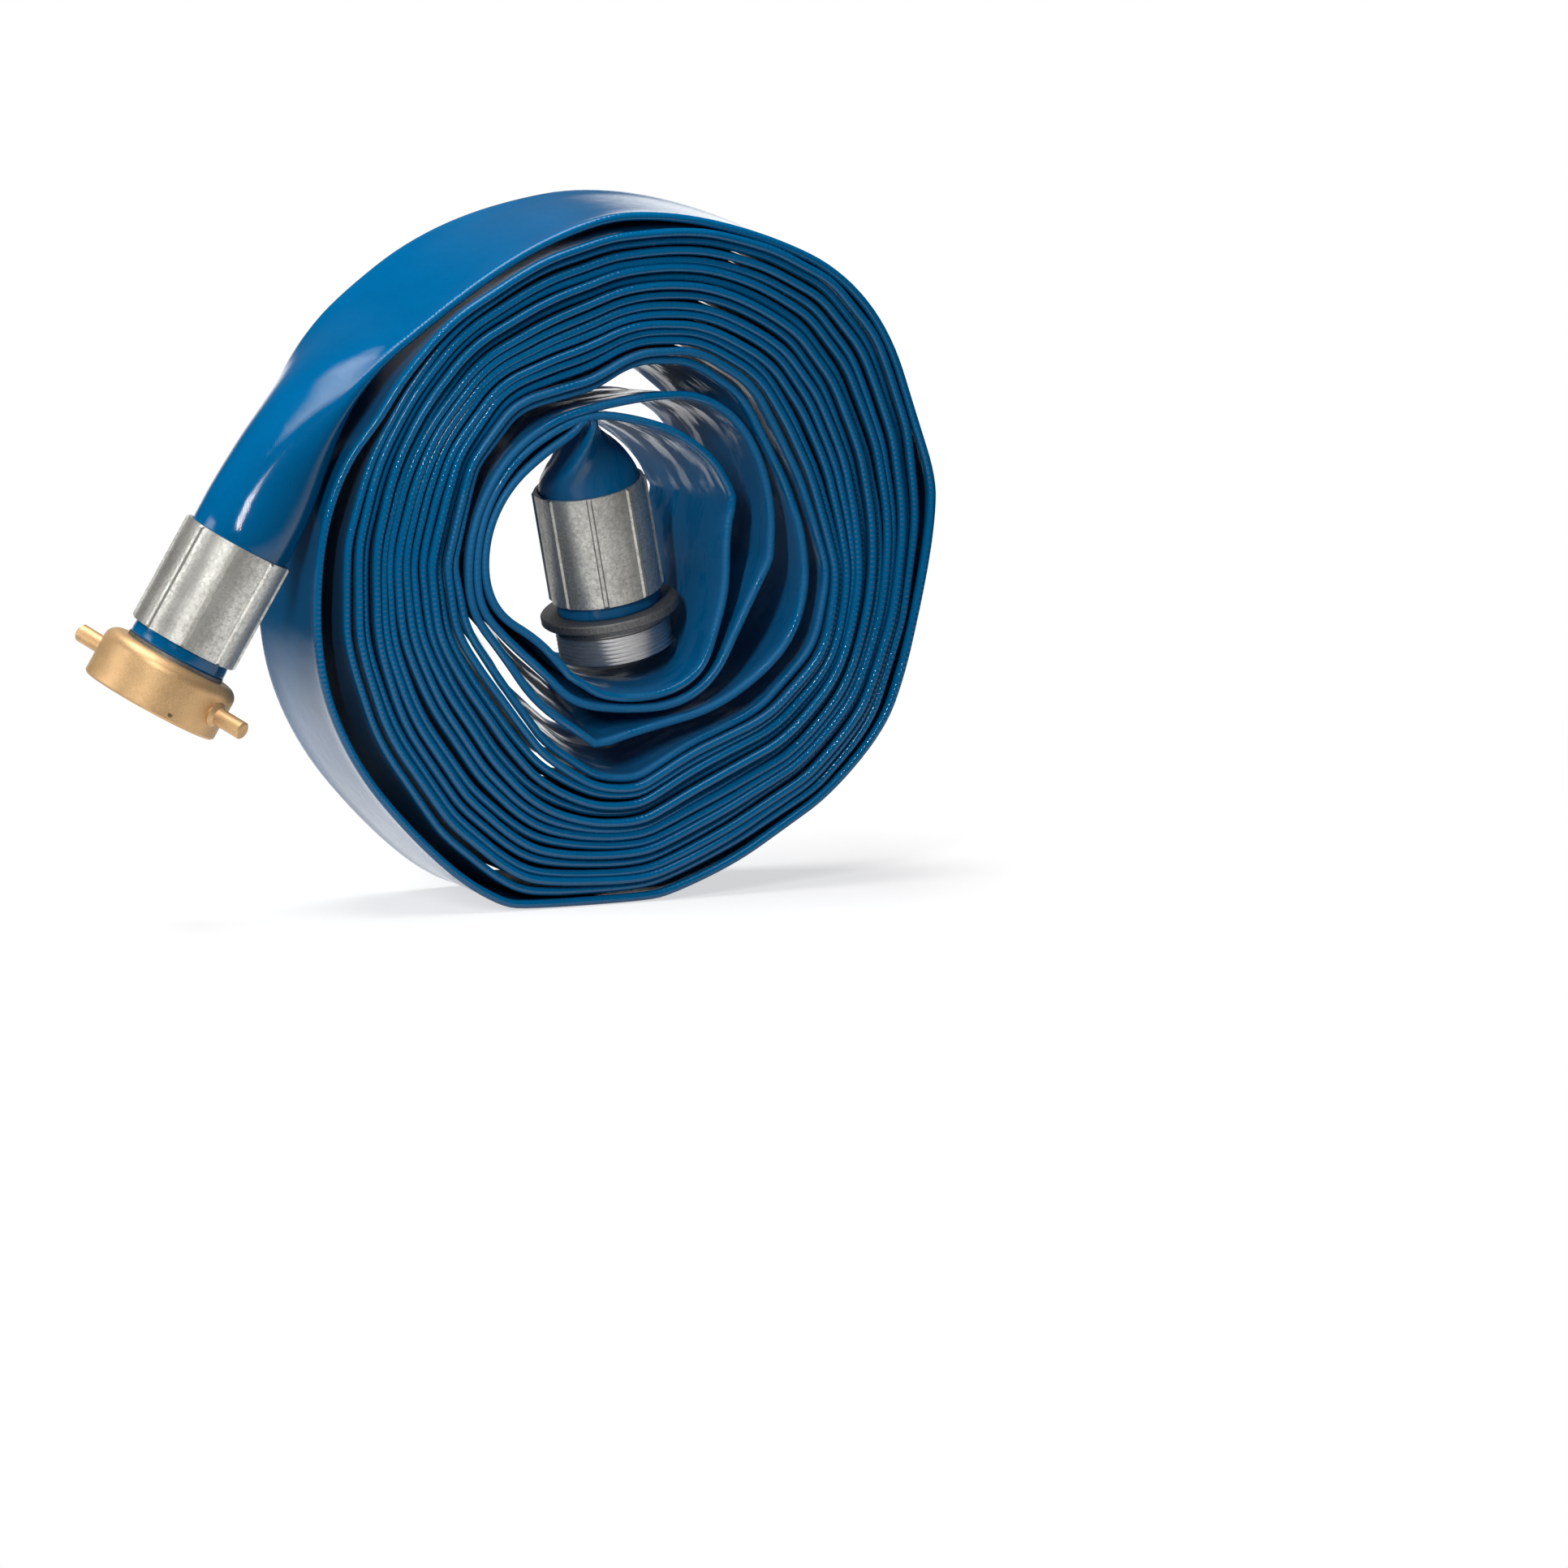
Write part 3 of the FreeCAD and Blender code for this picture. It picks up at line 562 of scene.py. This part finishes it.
class Recipe:
    """A material under way: adds nodes and joins them."""

    def __init__(self, name):
        self.material = bpy.data.materials.new(name)
        self.material.use_nodes = True
        self.nodes = self.material.node_tree.nodes
        self.links = self.material.node_tree.links
        self.shader = self.nodes["Principled BSDF"]

    def add(self, kind, inputs=None, **settings):
        node = self.nodes.new(kind)
        for key, value in settings.items():
            setattr(node, key, value)
        for key, value in (inputs or {}).items():
            self.feed(node, key, value)
        return node

    def feed(self, node, key, value):
        """Sets an input, or joins it to an output."""
        if isinstance(value, bpy.types.NodeSocket):
            self.links.new(value, node.inputs[key])
        else:
            node.inputs[key].default_value = value

    def maths(self, operation, *values, clamp=False):
        inputs = dict(enumerate(values))
        return self.add("ShaderNodeMath", inputs, operation=operation, use_clamp=clamp).outputs[0]

    def weighed(self, first, share, second):
        """The first value times a share, and the second times the rest."""
        return self.maths("ADD", self.maths("MULTIPLY", first, share),
                          self.maths("MULTIPLY", second, 1 - share))

    def scaled(self, vector, scale):
        return self.add("ShaderNodeMapping", {"Vector": vector, "Scale": scale}).outputs["Vector"]

    def noise(self, vector, scale, detail=3.0, roughness=0.5):
        inputs = {"Vector": vector, "Scale": scale, "Detail": detail, "Roughness": roughness}
        return self.add("ShaderNodeTexNoise", inputs).outputs["Fac"]

    def ramp(self, value, stops):
        node = self.add("ShaderNodeValToRGB", {"Fac": value})
        elements = node.color_ramp.elements
        while len(elements) < len(stops):
            elements.new(0.5)
        for element, (place, colour) in zip(elements, stops):
            element.position = place
            element.color = (*colour, 1.0) if hasattr(colour, "__len__") else (colour, colour, colour, 1.0)
        return node.outputs["Color"]

    def mixed(self, factor, first, second, blend="MIX"):
        node = self.add("ShaderNodeMix", data_type="RGBA", blend_type=blend)
        self.feed(node, 0, factor)
        self.feed(node, 6, first)
        self.feed(node, 7, second)
        return node.outputs[2]

    def bump(self, height, strength, distance, below=None):
        inputs = {"Height": height, "Strength": strength, "Distance": distance}
        if below is not None:
            inputs["Normal"] = below
        return self.add("ShaderNodeBump", inputs).outputs["Normal"]

    def surface(self, **values):
        for key, value in values.items():
            self.feed(self.shader, key.replace("_", " ").title().replace("Ior", "IOR"), value)


def colour(values, factor=1.0):
    return tuple(min(1.0, value * factor) for value in values) + (1.0,)


def shades(values, *stops):
    """Stops of a ramp, from places and how bright the colour is at each."""
    return [(place, colour(values, factor)[:3]) for place, factor in stops]


def pvc_material(finish):
    """Glossy cover with the reinforcing yarns showing through it, painted shade between the tight turns and a
    painted highlight on its folds.
    """
    recipe = Recipe("pvc_cover")      # its UV map is in metres: round the hose, then along it
    place = recipe.add("ShaderNodeTexCoord").outputs["UV"]
    parts = recipe.add("ShaderNodeSeparateXYZ", {"Vector": place}).outputs
    fold = recipe.add("ShaderNodeAttribute", attribute_name="fold").outputs["Fac"]
    pitch = finish.thread_pitch
    warp = recipe.maths("SINE", recipe.maths("MULTIPLY", parts["X"], 2 * math.pi / pitch))
    weft = recipe.maths("SINE", recipe.maths("MULTIPLY", parts["Y"], 2 * math.pi / (1.5 * pitch)))
    weave = recipe.maths("MULTIPLY", warp, weft)
    ribs = recipe.maths("SINE", recipe.maths("MULTIPLY", parts["Y"], 2 * math.pi / (2.2 * pitch)))
    ribs = recipe.maths("MULTIPLY", ribs, fold)
    broad = recipe.noise(place, 28.0, 2.0)
    mottle = recipe.noise(place, 260.0, 3.0, 0.6)
    unevenness = recipe.noise(place, 90.0, 2.0)
    # Painted highlight: the folds take the lighter fold colour.
    tint = recipe.mixed(fold, colour(finish.flat_colour), colour(finish.fold_highlight_colour))
    shade = recipe.ramp(recipe.weighed(broad, 0.6, mottle), [(0.3, 0.82), (0.7, 1.0)])
    tint = recipe.mixed(1.0, tint, shade, "MULTIPLY")
    yarn = recipe.maths("MULTIPLY_ADD", weave, 0.5, 0.5)
    tint = recipe.mixed(recipe.maths("MULTIPLY", yarn, 0.16), tint, colour(finish.fold_highlight_colour, 1.3))
    normal = recipe.bump(unevenness, 0.12, 1.2 * MM)
    normal = recipe.bump(weave, 0.12, 0.10 * MM, normal)
    normal = recipe.bump(ribs, 0.4, 0.12 * MM, normal)
    rough = recipe.ramp(mottle, [(0.3, 0.07), (0.75, 0.13)])
    # The loose turns near the male end have glossy patches, and the outermost turn is all
    # glossy. Between the tight turns the cover is dull, and painted shade darkens its colour there, apart
    # from its folds.
    creased = recipe.maths("SUBTRACT", LOOSE_LENGTH, parts["Y"], clamp=True)
    stretched = recipe.scaled(place, (1.0, 0.35, 1.0))
    teeth = recipe.maths("MULTIPLY_ADD", weave, 0.05, recipe.noise(stretched, 75.0, 3.0, 0.6))
    patches = recipe.ramp(teeth, [(0.50, 0.55), (0.58, 0.0)])
    outside = recipe.maths("MULTIPLY_ADD", parts["Y"], 5.0, -5.0 * OUTSIDE_FROM, clamp=True)
    matt = recipe.ramp(recipe.maths("MAXIMUM", outside, fold), [(0.0, 0.5), (0.9, 0.0)])
    rough = recipe.maths("ADD", rough, recipe.mixed(creased, matt, patches))
    # Painted shade: the colour is darkened to 0.35 between the tight turns, where they shade each other; the
    # folds, the outermost turn and the loose turns keep their colour.
    clear_of_painted_shade = recipe.maths("MAXIMUM", recipe.maths("MAXIMUM", outside, fold), creased)
    tint = recipe.mixed(1.0, tint, recipe.ramp(clear_of_painted_shade, [(0.0, 0.35), (0.9, 1.0)]), "MULTIPLY")
    recipe.surface(base_color=tint, roughness=rough, normal=normal, ior=1.5,
                   specular_ior_level=0.4)
    return recipe.material


def on_coupling(recipe, place):
    """Object coordinates turned so that Z runs along a coupling from its hose entry, in metres."""
    there = coupling_frame(place).inverted()
    inputs = {"Vector": recipe.add("ShaderNodeTexCoord").outputs["Object"],
              "Location": there.to_translation(), "Rotation": there.to_euler()}
    return recipe.add("ShaderNodeMapping", inputs).outputs["Vector"]


def zinc_material(name, finish, place):
    """Hot-dipped zinc: crystals, streaks along the sleeve and dull rubbed patches."""
    recipe = Recipe(name)
    vector = on_coupling(recipe, place)
    inputs = {"Vector": vector, "Scale": 650.0, "Randomness": 1.0}
    crystals = recipe.add("ShaderNodeTexVoronoi", inputs, feature="F1").outputs["Color"]
    crystal = recipe.add("ShaderNodeSeparateColor", {"Color": crystals}).outputs[0]
    stretched = recipe.scaled(vector, (1.0, 1.0, 0.12))
    streaks = recipe.noise(stretched, 420.0, 4.0, 0.6)
    grains = recipe.noise(vector, 900.0, 4.0, 0.7)
    patches = recipe.noise(vector, 55.0, 3.0)
    value = recipe.weighed(crystal, 0.25, grains)
    shade = recipe.ramp(value, shades(finish.zinc, (0.3, 0.74), (0.5, 1.0), (0.7, 1.25)))
    worn = recipe.ramp(patches, [(0.35, 0.84), (0.65, 1.0)])
    shade = recipe.mixed(1.0, shade, worn, "MULTIPLY")
    streak = recipe.ramp(streaks, [(0.35, 0.8), (0.6, 1.0)])
    shade = recipe.mixed(0.7, shade, streak, "MULTIPLY")
    normal = recipe.bump(grains, 0.35, 0.15 * MM)
    normal = recipe.bump(streaks, 0.25, 0.2 * MM, normal)
    rough = recipe.ramp(value, [(0.2, 0.50), (0.8, 0.30)])
    recipe.surface(base_color=shade, metallic=0.8, roughness=rough, normal=normal)
    return recipe.material


def shank_material(name, finish, place, machined_from):
    """Dull casting, with bright turned metal past a distance from the hose entry."""
    recipe = Recipe(name)
    vector = on_coupling(recipe, place)
    along = recipe.add("ShaderNodeSeparateXYZ", {"Vector": vector}).outputs["Z"]
    machined = recipe.maths("GREATER_THAN", along, machined_from * MM)
    grains = recipe.noise(vector, 700.0, 4.0, 0.65)
    rings = recipe.scaled(vector, (1.0, 1.0, 30.0))
    turning = recipe.noise(rings, 160.0, 3.0)
    cast = recipe.ramp(grains, shades(finish.aluminium, (0.3, 0.7), (0.7, 1.3)))
    bright = recipe.ramp(turning, [(0.3, 0.55), (0.7, 0.80)])
    shade = recipe.mixed(machined, cast, bright)
    rough = recipe.maths("MULTIPLY_ADD", machined, -0.32, 0.60)
    height = recipe.mixed(machined, grains, turning)
    normal = recipe.bump(height, 0.35, 0.12 * MM)
    recipe.surface(base_color=shade, metallic=0.9, roughness=rough, normal=normal)
    return recipe.material


def brass_material(finish):
    """Sand-cast brass, grainy and matt, with a few dark pits."""
    recipe = Recipe("cast_brass")
    vector = on_coupling(recipe, FEMALE_PLACE)
    grains = recipe.noise(vector, 1100.0, 4.0, 0.7)
    clouds = recipe.noise(vector, 70.0, 3.0)
    pits = recipe.noise(vector, 170.0, 1.0)
    value = recipe.weighed(grains, 0.55, clouds)
    shade = recipe.ramp(value, shades(finish.brass, (0.3, 0.70), (0.55, 1.0), (0.75, 1.25)))
    dark = recipe.ramp(pits, [(0.17, 0.25), (0.22, 1.0)])
    shade = recipe.mixed(1.0, shade, dark, "MULTIPLY")
    normal = recipe.bump(grains, 0.40, 0.18 * MM)
    normal = recipe.bump(pits, 0.15, 0.6 * MM, normal)
    rough = recipe.ramp(grains, [(0.3, 0.38), (0.7, 0.55)])
    recipe.surface(base_color=shade, metallic=0.6, roughness=rough, normal=normal)
    return recipe.material


def rubber_material():
    """Black gasket rubber with moulding grain and a little bloom."""
    recipe = Recipe("gasket_rubber")
    vector = recipe.add("ShaderNodeTexCoord").outputs["Object"]
    grains = recipe.noise(vector, 800.0, 4.0)
    shade = recipe.ramp(grains, [(0.3, 0.012), (0.7, 0.035)])
    recipe.surface(base_color=shade, roughness=recipe.ramp(grains, [(0.3, 0.55), (0.7, 0.75)]),
                   normal=recipe.bump(grains, 0.3, 0.1 * MM))
    return recipe.material


def give(node, material):
    """Puts a material in all of a CAD node's slots."""
    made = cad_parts[node]
    if not made.material_slots:
        made.data.materials.append(material)
    for slot in made.material_slots:
        slot.material = material


# Operators

class HOSE_OT_lay_hose(bpy.types.Operator):
    """Lay the hose along its route, from one coupling to the other"""

    bl_idname = "hose.lay_hose"
    bl_label = "Lay Hose"

    def execute(self, context):
        sizes = context.scene.hose_sizes
        hose = build_hose(sizes)
        hose.data.materials.append(pvc_material(context.scene.hose_finish))
        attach(hose, HOSE_BODY)
        layers = [f"{end}_end_{layer}" for end in ("male", "female") for layer in LAYERS]
        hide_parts(*STRETCHES, *layers)
        return {"FINISHED"}


class HOSE_OT_finish_ferrules(bpy.types.Operator):
    """Give the two crimped ferrules their zinc"""

    bl_idname = "hose.finish_ferrules"
    bl_label = "Finish Ferrules"

    def execute(self, context):
        finish = context.scene.coupling_finish
        give("male_ferrule", zinc_material("male_zinc", finish, MALE_PLACE))
        give("female_ferrule", zinc_material("female_zinc", finish, FEMALE_PLACE))
        return {"FINISHED"}


class HOSE_OT_finish_shanks(bpy.types.Operator):
    """Give the two shanks their cast and turned metal"""

    bl_idname = "hose.finish_shanks"
    bl_label = "Finish Shanks"

    def execute(self, context):
        finish = context.scene.coupling_finish
        give("male_shank", shank_material("male_casting", finish, MALE_PLACE, MACHINED_FROM["male"]))
        give("female_shank", shank_material("female_casting", finish, FEMALE_PLACE, MACHINED_FROM["female"]))
        return {"FINISHED"}


class HOSE_OT_finish_nut(bpy.types.Operator):
    """Give the swivel nut its brass and the gasket its rubber"""

    bl_idname = "hose.finish_nut"
    bl_label = "Finish Nut"

    def execute(self, context):
        give("swivel_nut", brass_material(context.scene.coupling_finish))
        give("swivel_gasket", rubber_material())
        return {"FINISHED"}


def floor_material():
    """White floor that fades out away from the roll."""
    recipe = Recipe("floor_paper")
    vector = recipe.add("ShaderNodeTexCoord").outputs["Object"]
    reach = recipe.add("ShaderNodeVectorMath", {0: vector}, operation="LENGTH").outputs["Value"]
    seen = recipe.ramp(reach, [(0.30, 1.0), (0.75, 0.0)])
    clear = recipe.add("ShaderNodeBsdfTransparent")
    mix = recipe.add("ShaderNodeMixShader", {0: seen, 1: clear.outputs[0], 2: recipe.shader.outputs[0]})
    recipe.links.new(mix.outputs[0], recipe.nodes["Material Output"].inputs["Surface"])
    grain = recipe.noise(vector, 400.0, 2.0)
    path = recipe.add("ShaderNodeLightPath").outputs
    paper = recipe.mixed(path["Is Diffuse Ray"], recipe.ramp(grain, [(0.0, 0.50), (1.0, 0.54)]),
                         colour((0.30, 0.30, 0.30)))
    glow = recipe.maths("MULTIPLY_ADD", path["Is Diffuse Ray"], -0.62, 0.62)
    recipe.surface(base_color=paper, roughness=0.9,
                   emission_color=(1.0, 1.0, 1.0, 1.0), emission_strength=glow)
    return recipe.material


def add_softbox(name, place, size, power):
    """A rectangular soft light turned towards the middle of the roll."""
    light = bpy.data.lights.new(name, "AREA")
    light.shape = "RECTANGLE"
    light.size, light.size_y = size
    light.energy = power
    lamp = bpy.data.objects.new(name, light)
    bpy.context.scene.collection.objects.link(lamp)
    lamp.location = place
    lamp.rotation_euler = (LIGHT_AIM - Vector(place)).to_track_quat("-Z", "Y").to_euler()


def add_world():
    """White surroundings behind the roll and a dim room on the other sides, with a soft fill."""
    world = bpy.data.worlds.new("studio")
    bpy.context.scene.world = world
    world.use_nodes = True
    tree = world.node_tree

    def add(kind, inputs, **settings):
        node = tree.nodes.new(kind)
        for key, value in settings.items():
            setattr(node, key, value)
        for key, value in inputs.items():
            if isinstance(value, bpy.types.NodeSocket):
                tree.links.new(value, node.inputs[key])
            else:
                node.inputs[key].default_value = value
        return node.outputs

    direction = add("ShaderNodeTexCoord", {})["Generated"]
    level = add("ShaderNodeVectorMath", {0: direction, 1: (1.0, 1.0, 0.0)}, operation="MULTIPLY")[0]
    level = add("ShaderNodeVectorMath", {0: level}, operation="NORMALIZE")[0]
    facing = add("ShaderNodeVectorMath", {0: level, 1: BACKDROP_WAY}, operation="DOT_PRODUCT")["Value"]
    backdrop = add("ShaderNodeMapRange", {"Value": facing, "From Min": 0.86, "From Max": 0.99,
                                          "To Min": 0.03, "To Max": 1.0})["Result"]
    height = add("ShaderNodeSeparateXYZ", {"Vector": direction})["Z"]
    dimming = add("ShaderNodeMapRange", {"Value": height, "From Min": 0.04, "From Max": 0.16,
                                         "To Min": 1.3, "To Max": 0.14})["Result"]
    backdrop = add("ShaderNodeMath", {0: backdrop, 1: dimming}, operation="MULTIPLY")[0]
    path = add("ShaderNodeLightPath", {})
    lit = add("ShaderNodeMix", {0: path["Is Diffuse Ray"], 2: backdrop, 3: 0.10})[0]
    seen = add("ShaderNodeMix", {0: path["Is Camera Ray"], 2: lit, 3: 1.0})[0]
    tree.links.new(seen, tree.nodes["Background"].inputs["Strength"])
    tree.nodes["Background"].inputs["Color"].default_value = (1.0, 1.0, 1.0, 1.0)


def add_camera(settings):
    """Camera at the settings' angle, framed so that the view is as wide as they say at the roll."""
    a, e = settings.azimuth, settings.elevation
    back = Vector((math.sin(a) * math.cos(e), -math.cos(a) * math.cos(e), math.sin(e)))
    data = bpy.data.cameras.new("camera")
    data.sensor_width = 36.0
    data.lens = data.sensor_width * settings.distance / settings.view_width
    camera = bpy.data.objects.new("camera", data)
    bpy.context.scene.collection.objects.link(camera)
    camera.location = Vector(settings.view_centre) + back * settings.distance
    camera.rotation_euler = (-back).to_track_quat("-Z", "Y").to_euler()
    bpy.context.scene.camera = camera


class HOSE_OT_build_stage(bpy.types.Operator):
    """Add the floor, the soft lights and the camera"""

    bl_idname = "hose.build_stage"
    bl_label = "Build Stage"

    def execute(self, context):
        bpy.ops.object.select_all(action="DESELECT")
        bpy.ops.mesh.primitive_plane_add(size=FLOOR_SIZE, location=(0.0, 0.0, -FLOOR_DROP))
        floor = context.object
        floor.name = "floor"
        floor.data.materials.append(floor_material())
        add_world()
        add_softbox("top_box", (-0.3, 0.1, 1.9), (1.6, 1.2), 32.0)
        add_softbox("left_box", (-1.12, -1.33, 1.08), (0.08, 0.75), 17.0)
        add_softbox("side_box", (-2.0, 0.5, 0.5), (0.8, 1.2), 12.0)
        add_camera(context.scene.stage_settings)
        context.scene.view_settings.view_transform = "Standard"
        return {"FINISHED"}


class HOSE_PT_panel(bpy.types.Panel):
    """Sizes, finishes and the steps in order"""

    bl_label = "Rolled Hose"
    bl_space_type = "VIEW_3D"
    bl_region_type = "UI"
    bl_category = "Hose"

    def draw(self, context):
        layout = self.layout
        for group_name, group in SETTINGS.items():
            box = layout.box()
            box.label(text=group.__doc__)
            settings = getattr(context.scene, group_name)
            for key in group.__annotations__:
                box.prop(settings, key)
        for step in STEPS:
            layout.operator(step.bl_idname)


SETTINGS = {
    "hose_sizes": HoseSizes,
    "hose_finish": HoseFinish,
    "coupling_finish": CouplingFinish,
    "stage_settings": StageSettings,
}
STEPS = (
    HOSE_OT_build_stage,
    HOSE_OT_lay_hose,
    HOSE_OT_finish_ferrules,
    HOSE_OT_finish_shanks,
    HOSE_OT_finish_nut,
)
CLASSES = tuple(SETTINGS.values()) + STEPS + (HOSE_PT_panel,)


def register():
    for each in CLASSES:
        bpy.utils.register_class(each)
    for group_name, group in SETTINGS.items():
        setattr(bpy.types.Scene, group_name, bpy.props.PointerProperty(type=group))


def unregister():
    for group_name in SETTINGS:
        delattr(bpy.types.Scene, group_name)
    for each in reversed(CLASSES):
        bpy.utils.unregister_class(each)


def main():
    register()
    bpy.ops.hose.build_stage()
    bpy.ops.hose.lay_hose()
    bpy.ops.hose.finish_ferrules()
    bpy.ops.hose.finish_shanks()
    bpy.ops.hose.finish_nut()


if __name__ == "__main__":
    main()
